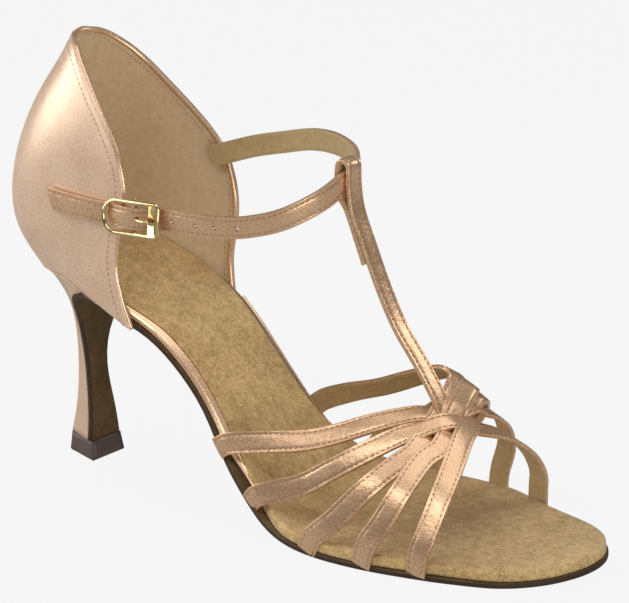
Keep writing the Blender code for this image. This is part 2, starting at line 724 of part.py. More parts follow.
def make_t_bar():
    """The centre strap: up the instep, over the ankle strap in a loop, and back down behind itself."""
    front = [(last_x(a), z * HEEL_RISE) for a, z in T_BAR]
    loop_height = ANKLE_STRAP_WIDTH + 2 * T_BAR_LOOP_GAP
    top_x, top_z = front[-1]
    back_x = top_x - STRAP_THICKNESS * 2 - T_BAR_LOOP_GAP * 2 - STRAP_THICKNESS
    crown = [
        (top_x - 0.2 * STRAP_THICKNESS, top_z + 0.80 * loop_height),
        (0.5 * (top_x + back_x), top_z + 0.82 * loop_height + STRAP_THICKNESS),
        (back_x + 0.2 * STRAP_THICKNESS, top_z + 0.78 * loop_height),
        (back_x + 0.1 * STRAP_THICKNESS, top_z - 0.3 * loop_height),
    ]
    tail = [(last_x(a) - 2.4 * STRAP_THICKNESS, z * HEEL_RISE) for a, z in T_BAR_TAIL]
    rows = smooth(front + crown + tail, 3)
    line = [Vector((x, T_BAR_SIDE, z)) for x, z in rows]
    outward = []
    for i in range(len(line)):
        run = line[min(i + 1, len(line) - 1)] - line[max(i - 1, 0)]
        outward.append(Vector((run.z, 0, -run.x)))
    return sweep("t_bar", line, outward, T_BAR_WIDTH, STRAP_THICKNESS, SATIN)


def ankle_place(along, across, z):
    return Vector((last_x(along), across * BALL_WIDTH, z * HEEL_RISE))


def make_ankle_strap():
    """The ankle strap: sewn to the inner front edge of the counter, buckled on the outer side."""
    line = [Vector(p) for p in smooth([tuple(ankle_place(*row)) for row in ANKLE_STRAP], 2)]
    middle = Vector((last_x(ANKLE_STRAP[0][0]), 0, 0))
    outward = []
    for point in line:
        out = Vector((max(point.x - middle.x, 0) * 0.6, point.y, 0))
        outward.append(out if out.length > 0 else Vector((1, 0, 0)))
    strap = sweep("ankle_strap", line, outward, ANKLE_STRAP_WIDTH, STRAP_THICKNESS, SATIN, slant=TAIL_SLANT)
    for along in STRAP_HOLES:
        x = last_x(along)
        ahead, behind = next((a, b) for a, b in zip(line, line[1:]) if a.y < 0 and a.x >= x > b.x)
        near = ahead.lerp(behind, (ahead.x - x) / (ahead.x - behind.x))
        through = Vector((0, 2 * STRAP_THICKNESS, 0))
        punch = tube("punch", [near - through, near + through], HOLE_RADIUS, SATIN)
        cut(strap, punch, "DIFFERENCE")
    return strap


def buckle_place(forward, up, out):
    """A point of the buckle from its middle: toward the toe, up, and out from the foot."""
    x = last_x(BUCKLE_ALONG) + forward
    y = BUCKLE_ACROSS * BALL_WIDTH - out + BUCKLE_LEAN * up / (BUCKLE_HEIGHT / 2)
    z = BUCKLE_UP * HEEL_RISE + up + BUCKLE_RISE * forward / (BUCKLE_LENGTH / 2)
    return Vector((x, y, z))


def make_buckle_frame():
    """The buckle's frame: round at the heel end, square at the toe end, with a broad front bar."""
    half_long = BUCKLE_LENGTH / 2 - BUCKLE_WIRE / 2
    half_high = BUCKLE_HEIGHT / 2 - BUCKLE_WIRE / 2
    corner = 0.0012
    path = []
    for k in range(13):
        turn = math.pi * (0.5 + k / 12)
        path.append((-half_long + half_high * (1 + math.cos(turn)), half_high * math.sin(turn)))
    for x_sign, start in ((1, -0.5), (1, 0.0)):
        for k in range(4):
            turn = math.pi * (start + k / 6)
            up_middle = -half_high + corner if start < 0 else half_high - corner
            forward = x_sign * (half_long - corner) + corner * math.cos(turn)
            path.append((forward, up_middle + corner * math.sin(turn)))
    path.reverse()
    rings = []
    count = len(path)
    for i, (forward, up) in enumerate(path):
        before, after = path[i - 1], path[(i + 1) % count]
        run, climb = after[0] - before[0], after[1] - before[1]
        size = math.hypot(run, climb)
        ring = []
        for k in range(8):
            turn = 2 * math.pi * (k + 0.5) / 8
            aside, out = math.cos(turn) * BUCKLE_WIRE / 2, math.sin(turn) * BUCKLE_WIRE / 2
            ring.append(buckle_place(forward - climb / size * aside, up + run / size * aside, out))
        rings.append(ring)
    faces = []
    for row in range(count):
        for k in range(8):
            a, b = row * 8 + k, row * 8 + (k + 1) % 8
            c, d = (row + 1) % count * 8 + (k + 1) % 8, (row + 1) % count * 8 + k
            faces.append((a, b, c, d))
    frame = solid("buckle_frame", [p for ring in rings for p in ring], faces, GOLD)
    front = half_long - ROLLER_WIDTH / 2 - BUCKLE_WIRE * 0.3
    rail = half_high
    roller = sweep(
        "roller",
        [buckle_place(front, -rail, BUCKLE_WIRE * 0.42), buckle_place(front, rail, BUCKLE_WIRE * 0.42)],
        [Vector((0, -1, 0))] * 2, ROLLER_WIDTH, BUCKLE_WIRE * 0.85, GOLD,
    )
    cut(frame, roller, "UNION")
    thin = BUCKLE_WIRE * 0.4
    for up in (-half_high, half_high):
        ends = [buckle_place(0, up, 0), buckle_place(0, up, -CENTRE_BAR_DEEP)]
        cut(frame, tube("post", ends, thin, GOLD), "UNION")
    bar_end = half_high + 0.5 * BUCKLE_WIRE
    ends = [buckle_place(0, -bar_end, -CENTRE_BAR_DEEP), buckle_place(0, bar_end, -CENTRE_BAR_DEEP)]
    cut(frame, tube("centre_bar", ends, thin, GOLD), "UNION")
    return frame


def make_buckle_prong():
    """The pin, hooked behind the centre bar, up through the strap's hole and over the front bar."""
    rows = [(-0.0014, 0, -0.0040), (0.0002, 0, -0.0043), (0.0016, 0, -0.0036), (0.0022, 0, -0.0020),
            (0.0026, 0, -0.0004), (0.0034, 0, 0.0012), (0.0056, 0, 0.0019), (0.0090, 0, 0.0019)]
    return tube("buckle_prong", [Vector(p) for p in smooth([tuple(buckle_place(*row)) for row in rows], 2)],
                PRONG_WIRE / 2, GOLD, sides=8)


def make_buckle_tab():
    """The tab sewn inside the counter's outer front edge, folded round the centre bar."""
    rows = [(-0.0180, 0, -0.0053), (-0.0120, 0, -0.0053), (-0.0070, 0, -0.0054), (-0.0045, 0, -0.0049),
            (-0.0016, 0, -0.0041), (0.0000, 0, -0.0039), (0.0009, 0, -0.0035), (0.0012, 0, -0.0027),
            (0.0012, 0, -0.0022)]
    line = [buckle_place(*row) for row in rows]
    outward = []
    for i in range(len(line)):
        run = line[min(i + 1, len(line) - 1)] - line[max(i - 1, 0)]
        outward.append(Vector((run.y, -run.x, 0)))
    tab = sweep("buckle_tab", line, outward, TAB_WIDTH, TAB_THICKNESS, SATIN)
    corners = ((-0.0011, -0.0010), (0.0011, -0.0010), (0.0011, -0.0060), (-0.0011, -0.0060))
    slot = loft("slot", [[buckle_place(f, up, out) for up, out in corners] for f in (-0.0030, 0.0030)], SATIN)
    cut(tab, slot, "DIFFERENCE")
    return tab


make_outsole()
make_heel_block()
make_heel_tip()
make_board()
make_sock()
make_quarter()
make_upper_straps()
make_ankle_strap()
make_buckle_frame()
make_buckle_prong()
make_buckle_tab()
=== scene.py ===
"""Looks of a right-foot ballroom dance sandal: peach satin, tan suede and a gold buckle."""
import math

import bmesh
import bpy
from mathutils import Matrix, Vector
from mathutils.bvhtree import BVHTree


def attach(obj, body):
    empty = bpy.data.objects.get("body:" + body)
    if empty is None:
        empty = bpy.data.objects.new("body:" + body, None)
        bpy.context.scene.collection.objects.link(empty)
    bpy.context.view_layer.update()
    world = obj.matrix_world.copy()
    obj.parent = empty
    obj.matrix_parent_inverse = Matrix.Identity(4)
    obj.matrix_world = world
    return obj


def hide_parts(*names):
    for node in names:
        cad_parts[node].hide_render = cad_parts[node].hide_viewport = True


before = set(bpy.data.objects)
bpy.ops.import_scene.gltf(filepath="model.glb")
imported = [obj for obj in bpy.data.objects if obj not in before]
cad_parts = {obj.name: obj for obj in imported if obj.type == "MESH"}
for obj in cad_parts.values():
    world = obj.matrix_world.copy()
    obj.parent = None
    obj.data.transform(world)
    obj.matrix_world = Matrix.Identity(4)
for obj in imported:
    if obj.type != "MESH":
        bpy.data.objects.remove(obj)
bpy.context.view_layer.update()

scene = bpy.context.scene

# The camera: at the photograph's viewing angle, a long lens a little above the shoe's outer front side,
# turned, raised and rolled so that the heel's tip and the forefoot both stand where they do in the picture.
CAMERA_AT = Vector((0.96204, -1.12063, 0.51054))
CAMERA_TURN = math.radians(37.8415)
CAMERA_RISE = math.radians(17.3305)
CAMERA_ROLL = math.radians(-0.4903)
CAMERA_LENS = 274.97
SENSOR_WIDTH = 36
CLIP_END = 20

back = Vector(
    (
        math.sin(CAMERA_TURN) * math.cos(CAMERA_RISE),
        -math.cos(CAMERA_TURN) * math.cos(CAMERA_RISE),
        math.sin(CAMERA_RISE),
    )
)
level = Vector((math.cos(CAMERA_TURN), math.sin(CAMERA_TURN), 0))
right = level * math.cos(CAMERA_ROLL) + back.cross(level) * math.sin(CAMERA_ROLL)
upward = back.cross(right)
lens = bpy.data.cameras.new("camera")
lens.lens = CAMERA_LENS
lens.sensor_width = SENSOR_WIDTH
lens.sensor_fit = "HORIZONTAL"
lens.clip_end = CLIP_END
camera = bpy.data.objects.new("camera", lens)
camera.matrix_world = Matrix.Translation(CAMERA_AT) @ Matrix((right, upward, back)).transposed().to_4x4()
scene.collection.objects.link(camera)
scene.camera = camera
scene.view_settings.view_transform = "Standard"


# The outsole: thin brown suede with its nap out, cemented under the board from the toe to the waist and
# run on down the breast of the heel. Its cut edge is stained nearly black.
BLACK = (0, 0, 0)
WHITE = (1, 1, 1)
NAP_DEPTH = 0.0003
EDGE_UPRIGHT = 0.6
TOE_EDGE_FROM = 0.188
SAME_POINT = 1e-6
FLAT = math.radians(25)
SQUARE = math.radians(80)


class Wire:
    """A value in a material: arithmetic on it adds the maths nodes."""

    def __init__(self, finish, socket):
        self.finish = finish
        self.socket = socket

    def maths(self, operation, first, second):
        return self.finish.node("ShaderNodeMath", {"operation": operation}, {0: first, 1: second})

    def __add__(self, other):
        return self.maths("ADD", self, other)

    def __sub__(self, other):
        return self.maths("SUBTRACT", self, other)

    def __mul__(self, other):
        return self.maths("MULTIPLY", self, other)

    def __rsub__(self, other):
        return self.maths("SUBTRACT", other, self)

    __radd__ = __add__
    __rmul__ = __mul__


class Finish:
    """One material, or the world, its nodes added by plain calls."""

    def __init__(self, name, world=None):
        self.material = world or bpy.data.materials.new(name)
        self.material.use_nodes = True
        self.tree = self.material.node_tree
        self.shader = self.tree.nodes["Background" if world else "Principled BSDF"]

    def node(self, kind, settings, sockets, output=0):
        made = self.tree.nodes.new(kind)
        for key, value in settings.items():
            if key == "stops":
                while len(made.color_ramp.elements) < len(value):
                    made.color_ramp.elements.new(0.5)
                for element, (place, colour) in zip(made.color_ramp.elements, value):
                    element.position = place
                    element.color = (*colour, 1)
            else:
                setattr(made, key, value)
        for key, value in sockets.items():
            if isinstance(value, Wire):
                self.tree.links.new(value.socket, made.inputs[key])
            else:
                made.inputs[key].default_value = value
        return Wire(self, made.outputs[output])

    def place(self, scale=(1, 1, 1), turn=(0, 0, 0), uv=None):
        """Object coordinates, or the piece's own map, scaled and turned."""
        if uv:
            at = self.node("ShaderNodeUVMap", {"uv_map": uv}, {})
        else:
            at = self.node("ShaderNodeTexCoord", {}, {}, "Object")
        return self.node("ShaderNodeMapping", {}, {"Vector": at, "Scale": scale, "Rotation": turn})

    def noise(self, at, scale, detail=3.0, roughness=0.5):
        sockets = {"Vector": at, "Scale": scale, "Detail": detail, "Roughness": roughness}
        return self.node("ShaderNodeTexNoise", {}, sockets)

    def ramp(self, value, stops):
        return self.node("ShaderNodeValToRGB", {"stops": stops}, {0: value})

    def blend(self, factor, first, second):
        settings = {"data_type": "RGBA"}
        first = first if isinstance(first, Wire) else (*first, 1)
        second = second if isinstance(second, Wire) else (*second, 1)
        return self.node("ShaderNodeMix", settings, {0: factor, 6: first, 7: second}, 2)

    def bump(self, height, strength, distance, over=None):
        sockets = {"Height": height, "Strength": strength, "Distance": distance}
        if over:
            sockets["Normal"] = over
        return self.node("ShaderNodeBump", {}, sockets)

    def feed(self, **inputs):
        for key, value in inputs.items():
            socket = self.shader.inputs[key.replace("_", " ")]
            if isinstance(value, Wire):
                self.tree.links.new(value.socket, socket)
            elif isinstance(value, tuple):
                socket.default_value = (*value, 1)
            else:
                socket.default_value = value
        return self.material


def linen(name, light, deep, nap=700, rough=0.82, bump=0.3, bloom=0.25):
    """Suede or woven lining: matt, slightly mottled, its nap given in the noise's scale per metre."""
    cloth = Finish(name)
    at = cloth.place()
    fine = cloth.noise(at, nap * 3, 2.0)
    patches = cloth.noise(at, nap * 0.35, 4.0, 0.65)
    shade = cloth.ramp(patches * 0.6 + fine * 0.4, [(0.36, BLACK), (0.64, WHITE)])
    return cloth.feed(
        Base_Color=cloth.blend(shade, deep, light), Roughness=rough, Normal=cloth.bump(fine, bump, NAP_DEPTH),
        Sheen_Weight=bloom, Sheen_Roughness=0.5, Specular_IOR_Level=0.25,
    )


def finished(name, mesh, slot, *materials, replaced=()):
    """A piece of the shoe: linked, smooth, riding on the shoe and standing for its solids."""
    piece = bpy.data.objects.new(name, mesh)
    scene.collection.objects.link(piece)
    mesh.materials.clear()
    for made in materials:
        mesh.materials.append(made)
    mesh.shade_smooth()
    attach(piece, "root")
    if replaced:
        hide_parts(*replaced)
    return piece


def copied(node, crease_angle=30, levels=2, reshape=None):
    """The solid's own surface, merged, its crisp edges creased, smoothed between its stations."""
    mesh = bmesh.new()
    mesh.from_mesh(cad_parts[node].data)
    bmesh.ops.remove_doubles(mesh, verts=mesh.verts, dist=SAME_POINT)
    bmesh.ops.join_triangles(mesh, faces=mesh.faces, angle_face_threshold=FLAT, angle_shape_threshold=SQUARE)
    crease = mesh.edges.layers.float.new("crease_edge")
    for edge in mesh.edges:
        if len(edge.link_faces) == 2 and edge.calc_face_angle() > math.radians(crease_angle):
            edge[crease] = 1.0
    if reshape:
        for vert in mesh.verts:
            vert.co += reshape(vert.co)
    made = bpy.data.meshes.new(node)
    mesh.to_mesh(made)
    mesh.free()
    rough = bpy.data.objects.new(node + "_rough", made)
    scene.collection.objects.link(rough)
    smoother = rough.modifiers.new("smooth", "SUBSURF")
    smoother.levels = smoother.render_levels = levels
    smoother.boundary_smooth = "PRESERVE_CORNERS"
    graph = bpy.context.evaluated_depsgraph_get()
    result = bpy.data.meshes.new_from_object(rough.evaluated_get(graph))
    bpy.data.objects.remove(rough, do_unlink=True)
    return result


sole_suede = linen(
    "sole_suede", (0.165, 0.098, 0.040), (0.085, 0.048, 0.019), nap=500, rough=0.95, bloom=0.0
)
edge_stain = Finish("edge_stain")
edge_grain = edge_stain.noise(edge_stain.place(), 900, 2.0)
edge_stain.feed(
    Base_Color=edge_stain.blend(edge_grain, (0.028, 0.015, 0.007), (0.062, 0.034, 0.016)),
    Roughness=edge_stain.noise(edge_stain.place(), 700, 2.0) * 0.2 + 0.5, Specular_IOR_Level=0.3,
    Normal=edge_stain.bump(edge_stain.noise(edge_stain.place((1, 1, 3)), 1500, 2.0), 0.25, 0.0002),
)
sole_mesh = copied("outsole", 35, levels=1)
finished("sole", sole_mesh, "sole_suede", sole_suede, edge_stain.material, replaced=("outsole",))
for face in sole_mesh.polygons:
    at_toe = face.center.x > TOE_EDGE_FROM and abs(face.normal.z) < EDGE_UPRIGHT
    side = abs(face.normal.y) > EDGE_UPRIGHT or at_toe
    face.material_index = 1 if side else 0


# The heel: a moulded plastic core with peach satin stretched and cemented over it, pressed up under the
# seat. Its foot is shod with a dark brown moulded tip, pinned into the core.
SATIN_LIGHT = (0.82, 0.55, 0.345)
SATIN_DEEP = (0.60, 0.345, 0.185)
SATIN_ROUGH = 0.27
SATIN_METALLIC = 0.70
WEAVE_THREADS = 2400
TWILL_SCALE = 480
TWILL_SLANT = 0.8
THREAD_STRETCH = (1.0, 0.4, 0.7)
THREAD_DEPTH = 0.00016
CREASE_DEPTH = 0.0006


def satin(
    name, light=SATIN_LIGHT, deep=SATIN_DEEP, rough=SATIN_ROUGH, metallic=SATIN_METALLIC,
    creases=0.35, uv=None,
):
    """Satin weave: fine slanting threads, on a map of its own also a twill, over soft creases."""
    cloth = Finish(name)
    weave = cloth.noise(cloth.place(THREAD_STRETCH, (0, 0, TWILL_SLANT), uv), WEAVE_THREADS, 1.5)
    if uv:
        sockets = {
            "Vector": cloth.place(turn=(0, 0, TWILL_SLANT), uv=uv), "Scale": TWILL_SCALE,
            "Distortion": 3.0, "Detail": 2.0, "Detail Scale": 1.5,
        }
        twill = cloth.node("ShaderNodeTexWave", {"wave_type": "BANDS"}, sockets, 1)
        weave = weave * 0.75 + twill * 0.25
    drift = cloth.noise(cloth.place(uv=uv), 90, 2.0)
    shade = cloth.ramp(weave * 0.7 + drift * 0.3, [(0.30, BLACK), (0.66, WHITE)])
    folds = cloth.bump(cloth.noise(cloth.place(uv=uv), 230, 3.0, 0.6), creases, CREASE_DEPTH)
    return cloth.feed(
        Base_Color=cloth.blend(shade, deep, light), Metallic=metallic, Specular_IOR_Level=0.6,
        Roughness=weave * 0.14 + (rough - 0.05), Normal=cloth.bump(weave, 0.20, THREAD_DEPTH, folds),
    )


heel_satin = satin("heel_satin", (0.78, 0.56, 0.39), (0.64, 0.43, 0.28), 0.36, 0.40, creases=0.1)
finished("heel", copied("heel_block", 42), "heel_satin", heel_satin, replaced=("heel_block",))
tip_finish = Finish("tip_plastic")
tip_grain = tip_finish.noise(tip_finish.place(), 1300, 3.0)
tip_finish.feed(
    Base_Color=tip_finish.blend(tip_grain, (0.060, 0.036, 0.026), (0.105, 0.066, 0.050)),
    Roughness=tip_grain * 0.25 + 0.38,
    Normal=tip_finish.bump(tip_grain, 0.2, 0.0002),
)
finished("tip", copied("heel_tip"), "tip_plastic", tip_finish.material, replaced=("heel_tip",))


# The insole board: stiff fibre board, its edge wrapped in satin that shows as a bright rim at the waist.
# A thin piping cord is let into the rim's upper edge between the counter and the second strap.
BEAD_RADIUS = 0.00048
BEAD_FROM = 0.0385
BEAD_TO = 0.0985
BEAD_PROUD = 0.0001
RIM_UPRIGHT = 0.5
RIM_TURN = 0.42
BOARD_CORNER = math.radians(30)
LINE_STEPS = 12
rim_satin = satin("rim_satin", (0.90, 0.62, 0.41), (0.76, 0.48, 0.29), rough=0.24, creases=0.0)
finished("board", copied("insole_board"), "board_satin", rim_satin, replaced=("insole_board",))


def cord(name, lines, radius, slot, material):
    """Round piping laid along lines of points."""
    curve = bpy.data.curves.new(name, "CURVE")
    curve.dimensions = "3D"
    curve.bevel_depth = radius
    curve.bevel_resolution = 2
    curve.use_fill_caps = True
    for line in lines:
        spline = curve.splines.new("POLY")
        spline.points.add(len(line) - 1)
        for point, co in zip(spline.points, line):
            point.co = (*co, 1)
    laid = bpy.data.objects.new(name + "_line", curve)
    scene.collection.objects.link(laid)
    mesh = bpy.data.meshes.new_from_object(laid.evaluated_get(bpy.context.evaluated_depsgraph_get()))
    bpy.data.objects.remove(laid, do_unlink=True)
    return finished(name, mesh, slot, material)


def smooth_line(points, spacing=0.0013):
    """A Catmull-Rom line through points, read at an even spacing."""
    rows = [points[0] * 2 - points[1], *points, points[-1] * 2 - points[-2]]
    line = []
    for a, b, c, d in zip(rows, rows[1:], rows[2:], rows[3:]):
        for i in range(LINE_STEPS):
            u = i / LINE_STEPS
            curve = b * 2 + (c - a) * u + (a * 2 - b * 5 + c * 4 - d) * u**2 + (b * 3 - a - c * 3 + d) * u**3
            line.append(curve * 0.5)
    line.append(rows[-2].copy())
    total = sum((q - p).length for p, q in zip(line, line[1:]))
    count = max(int(total / spacing), 8)
    even, run, goal = [line[0].copy()], 0.0, total / count
    for p, q in zip(line, line[1:]):
        size = (q - p).length
        while run + size >= goal * len(even) and len(even) < count:
            even.append(p.lerp(q, (goal * len(even) - run) / size))
        run += size
    even.append(line[-1].copy())
    return even


shell = bmesh.new()
shell.from_mesh(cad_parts["insole_board"].data)
bmesh.ops.remove_doubles(shell, verts=shell.verts, dist=SAME_POINT)
upright = [
    edge
    for edge in shell.edges
    if len(edge.link_faces) == 2
    and min(abs(face.normal.y) for face in edge.link_faces) > RIM_UPRIGHT
    and max(face.normal.z for face in edge.link_faces) > RIM_TURN
    and min(face.normal.z for face in edge.link_faces) < RIM_TURN
    and all(BEAD_FROM < vert.co.x < BEAD_TO for vert in edge.verts)
    and edge.calc_face_angle() > BOARD_CORNER
]
beads = []
for side in (-1, 1):
    edges = [edge for edge in upright if edge.verts[0].co.y * side > 0]
    points = sorted({vert for edge in edges for vert in edge.verts}, key=lambda vert: vert.co.x)
    proud = Vector((0, side * BEAD_PROUD, BEAD_PROUD))
    beads.append(smooth_line([vert.co + proud for vert in points], 0.002))
shell.free()
cord("board_piping", beads, BEAD_RADIUS, "board_satin", rim_satin)


# The sock: olive-tan suede with a brushed nap, cemented over the board. It lies inside the satin rim at the
# waist and is folded over the sole's edge in front.
SOCK_PULLED_IN = -0.0012
SOCK_FOLDED_OUT = 0.0014
RIM_FROM, RIM_TO = 0.030, 0.046
FOLD_FROM, FOLD_TO = 0.094, 0.104
TOE_TURN = Vector((0.165, 0.002, 0))


def eased(value, low, high):
    """A smooth step from 0 at the low value to 1 at the high one."""
    share = min(max((value - low) / (high - low), 0), 1)
    return share * share * (3 - 2 * share)


def spread_sock(co):
    """The sock's edge: drawn in where the rim shows, drawn out over the sole's edge in front."""
    reach = SOCK_PULLED_IN * eased(co.x, RIM_FROM, RIM_TO) * (1 - eased(co.x, FOLD_FROM, FOLD_TO))
    reach += SOCK_FOLDED_OUT * eased(co.x, FOLD_FROM, FOLD_TO)
    out = Vector((max(co.x - TOE_TURN.x, 0), co.y - TOE_TURN.y, 0))
    return out.normalized() * reach


sock_finish = Finish("sock_suede")
nap_at = sock_finish.place()
nap_fine = sock_finish.noise(nap_at, 1900, 4.0, 0.7)
nap_patch = sock_finish.noise(nap_at, 330, 5.0, 0.75)
nap_broad = sock_finish.noise(nap_at, 45, 3.0)
sock_tone = sock_finish.ramp(
    nap_patch * 0.35 + nap_fine * 0.5 + nap_broad * 0.15,
    [(0.40, (0.330, 0.195, 0.066)), (0.50, (0.570, 0.375, 0.150)), (0.60, (0.800, 0.560, 0.265))],
)
sock_finish.feed(
    Base_Color=sock_tone, Roughness=0.9, Sheen_Weight=0.25, Sheen_Roughness=0.45,
    Normal=sock_finish.bump(nap_fine * 0.6 + nap_patch * 0.4, 0.45, 0.0004),
)
sock_mesh = copied("insole_sock", 55, reshape=spread_sock)
finished("sock", sock_mesh, "sock_suede", sock_finish.material, replaced=("insole_sock",))


# The counter: one stiffened satin shell round the heel, lined in tan cloth and open at the top and front.
# Its lower edge is lasted under the board, and its upper edge is rolled round a piping cord.
SEAT_MIDDLE_X = 0.010
FACING = 0.45
# The counter's satin is the same peach satin as the straps, given a paler tone here: painted light for the
# brighter light falling on the counter.
counter_satin_painted_light = satin(
    "counter_satin_painted_light", (0.90, 0.66, 0.475), (0.66, 0.43, 0.28), rough=0.33, metallic=0.42, creases=0.12
)
lining = linen("lining", (0.78, 0.60, 0.38), (0.64, 0.47, 0.28), nap=1300)
quarter_mesh = copied("quarter", 50)
finished("counter", quarter_mesh, "satin", counter_satin_painted_light, lining, rim_satin, replaced=("quarter",))


def counter_facing(co, normal):
    """How far a face of the counter looks away from the foot: 1 outwards, -1 into the shoe."""
    away = Vector((min(co.x - SEAT_MIDDLE_X, 0), co.y, 0)).normalized()
    return normal.dot(away)


for face in quarter_mesh.polygons:
    facing = counter_facing(face.center, face.normal)
    face.material_index = 0 if facing > FACING else 1 if facing < -FACING else 2


# The piping and the sewing: a satin cord along the counter's edge, and peach thread in short lockstitches
# let into the satin and the lining a little way in from it. The thread is coloured darker than the satin as
# painted shade.
PIPING_RADIUS = 0.00092
PIPING_SUNK = 0.00065
COUNTER_SEAM_INSET = 0.0023
LINING_SEAM_INSET = 0.0024
COUNTER_HEART = Vector((-0.004, 0.0, 0.085))
COUNTER_CORNER = math.radians(50)
WALL = 0.0016
STITCH_LENGTH = 0.0014
STITCH_PITCH = 0.00185
STITCH_THICK = 0.00031
# The thread's darker brown is painted shade for the shadow along the stitches. The real thread is the satin's
# peach.
thread_with_painted_shade = Finish("thread")
thread_grain = thread_with_painted_shade.noise(thread_with_painted_shade.place(), 1800, 2.0)
thread_with_painted_shade.feed(
    Base_Color=thread_with_painted_shade.blend(thread_grain, (0.30, 0.165, 0.085), (0.42, 0.25, 0.14)), Roughness=0.55
)
sewing = bmesh.new()


def sew(points, normals):
    """Stitches at an even pitch along a line of points that lie on the satin."""
    run = 0.0
    for i in range(len(points) - 1):
        ahead = points[i + 1] - points[i]
        size = ahead.length
        if size < SAME_POINT:
            continue
        while run < size:
            middle = points[i].lerp(points[i + 1], run / size)
            forward = ahead.normalized()
            up = (normals[i] - forward * normals[i].dot(forward)).normalized()
            aside = up.cross(forward)
            turned = Matrix((forward, aside, up)).transposed().to_4x4()
            shape = Matrix.Diagonal((STITCH_LENGTH / 2, STITCH_THICK / 2, STITCH_THICK / 2, 1))
            bmesh.ops.create_icosphere(
                sewing, subdivisions=1, radius=1.0, matrix=Matrix.Translation(middle) @ turned @ shape
            )
            run += STITCH_PITCH
        run -= size


def ring_of(edges):
    """The edges' points in order, once round."""
    links = {}
    for edge in edges:
        for vert in edge.verts:
            links.setdefault(vert, []).append(edge.other_vert(vert))
    start = here = next(iter(links))
    ring, before = [start.co.copy()], None
    while True:
        ahead = next((vert for vert in links[here] if vert is not before), None)
        if ahead is None or ahead is start:
            return ring
        ring.append(ahead.co.copy())
        before, here = here, ahead


shell = bmesh.new()
shell.from_mesh(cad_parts["quarter"].data)
bmesh.ops.remove_doubles(shell, verts=shell.verts, dist=SAME_POINT)
bmesh.ops.join_triangles(shell, faces=shell.faces, angle_face_threshold=FLAT, angle_shape_threshold=SQUARE)
rims = {}
for edge in shell.edges:
    if len(edge.link_faces) == 2 and edge.calc_face_angle() > COUNTER_CORNER:
        facings = [counter_facing(face.calc_center_median(), face.normal) for face in edge.link_faces]
        if max(facings) > FACING:
            rims.setdefault("satin", []).append(edge)
        elif min(facings) < -FACING:
            rims.setdefault("lining", []).append(edge)
satin_ring = ring_of(rims["satin"])
lining_ring = ring_of(rims["lining"])
shell.free()


def upper_edge(ring):
    """The part of the counter's ring that runs up its front edges and over its top, outer side first."""
    first, last = (
        min((i for i in range(len(ring)) if ring[i].y * side > 0), key=lambda i: ring[i].z)
        for side in (-1, 1)
    )
    forward = [ring[(first + i) % len(ring)] for i in range((last - first) % len(ring) + 1)]
    backward = [ring[(first - i) % len(ring)] for i in range((first - last) % len(ring) + 1)]
    return max(forward, backward, key=lambda way: max(co.z for co in way))


satin_edge = upper_edge(satin_ring)
rolled = []
for co in satin_edge:
    partner = min(lining_ring, key=lambda other: (other - co).length)
    middle = (co + partner) / 2
    rolled.append(middle + (COUNTER_HEART - middle).normalized() * PIPING_SUNK)
rolled = smooth_line(rolled)
cord("counter_piping", [rolled], PIPING_RADIUS, "satin", rim_satin)

counter_faces = BVHTree.FromPolygons(
    [vert.co for vert in quarter_mesh.vertices], [list(face.vertices) for face in quarter_mesh.polygons]
)
for inset, face_side in ((COUNTER_SEAM_INSET, 1), (LINING_SEAM_INSET, -1)):
    points, normals = [], []
    for i in range(1, len(rolled) - 1):
        along = (rolled[i + 1] - rolled[i - 1]).normalized()
        outwards = Vector((min(rolled[i].x - SEAT_MIDDLE_X, 0), rolled[i].y, 0)).normalized()
        inward = along.cross(outwards).normalized()
        if inward.dot(COUNTER_HEART - rolled[i]) < 0:
            inward.negate()
        target = rolled[i] + inward * inset + outwards * (face_side * WALL)
        spot, normal, _, _ = counter_faces.find_nearest(target)
        points.append(spot)
        normals.append(normal)
    sew(points, normals)


# The vamp straps: satin folded over a suede backing and sewn along both edges, a little crowned between.
# Five are woven over the toes, three from the inner side and two from the outer, and lasted under the sock.
MM = 0.001
STRAP_THICKNESS = 0.0013
STRAP_CROWN = 0.00012
SEAM_DIP = 0.00010
SEAM_DIP_HALF = 0.0004
SEAM_INSET = 0.0011
THREAD_HEIGHT = 0.2 * STRAP_CROWN
FOLD_WIDTH = 0.00028
FOLD_CORNER = math.radians(40)
SLANT_ROWS = 4
SEAT_OF_STRAPS = 0.0016
# How high the tread stands above the floor along the shoe, in millimetres.
TREAD = [(60, 35.9), (72, 22.1), (80, 14.9), (88, 9.3), (96, 4.6), (104, 2.1), (112, 0.8), (128, 0), (200, 0)]
VAMP_FORWARD_LEAN = 0.5
VAMP_LIFT = 0.044
BALL_HALF = 0.0375
# Where the rows of a strap's grid stand between its two edges, closer at the seams.
ACROSS = [0, 0.03, 0.07, 0.11, 0.14, 0.17, 0.21, 0.27, 0.38, 0.5]
ACROSS += [1 - share for share in reversed(ACROSS[:-1])]
strap_satin = satin("strap_satin", uv="strap")
strap_lining = linen("strap_lining", (0.62, 0.46, 0.23), (0.46, 0.325, 0.15), nap=1300)


def route(rows):
    """A strap's line through points given in millimetres."""
    return smooth_line([Vector(row) * MM for row in rows])


def tread_height(x):
    """How high the tread stands above the floor at a place along the shoe."""
    x = min(max(x / MM, TREAD[0][0]), TREAD[-1][0])
    for (a, low), (b, high) in zip(TREAD, TREAD[1:]):
        if x <= b:
            return (low + (high - low) * (x - a) / (b - a)) * MM


def vamp_outward(point):
    """Outward direction of the front of the foot at a point of a strap."""
    up = max(point.z - tread_height(point.x) - SEAT_OF_STRAPS, 0) / VAMP_LIFT**2
    return Vector((VAMP_FORWARD_LEAN * up, point.y / BALL_HALF**2, up))


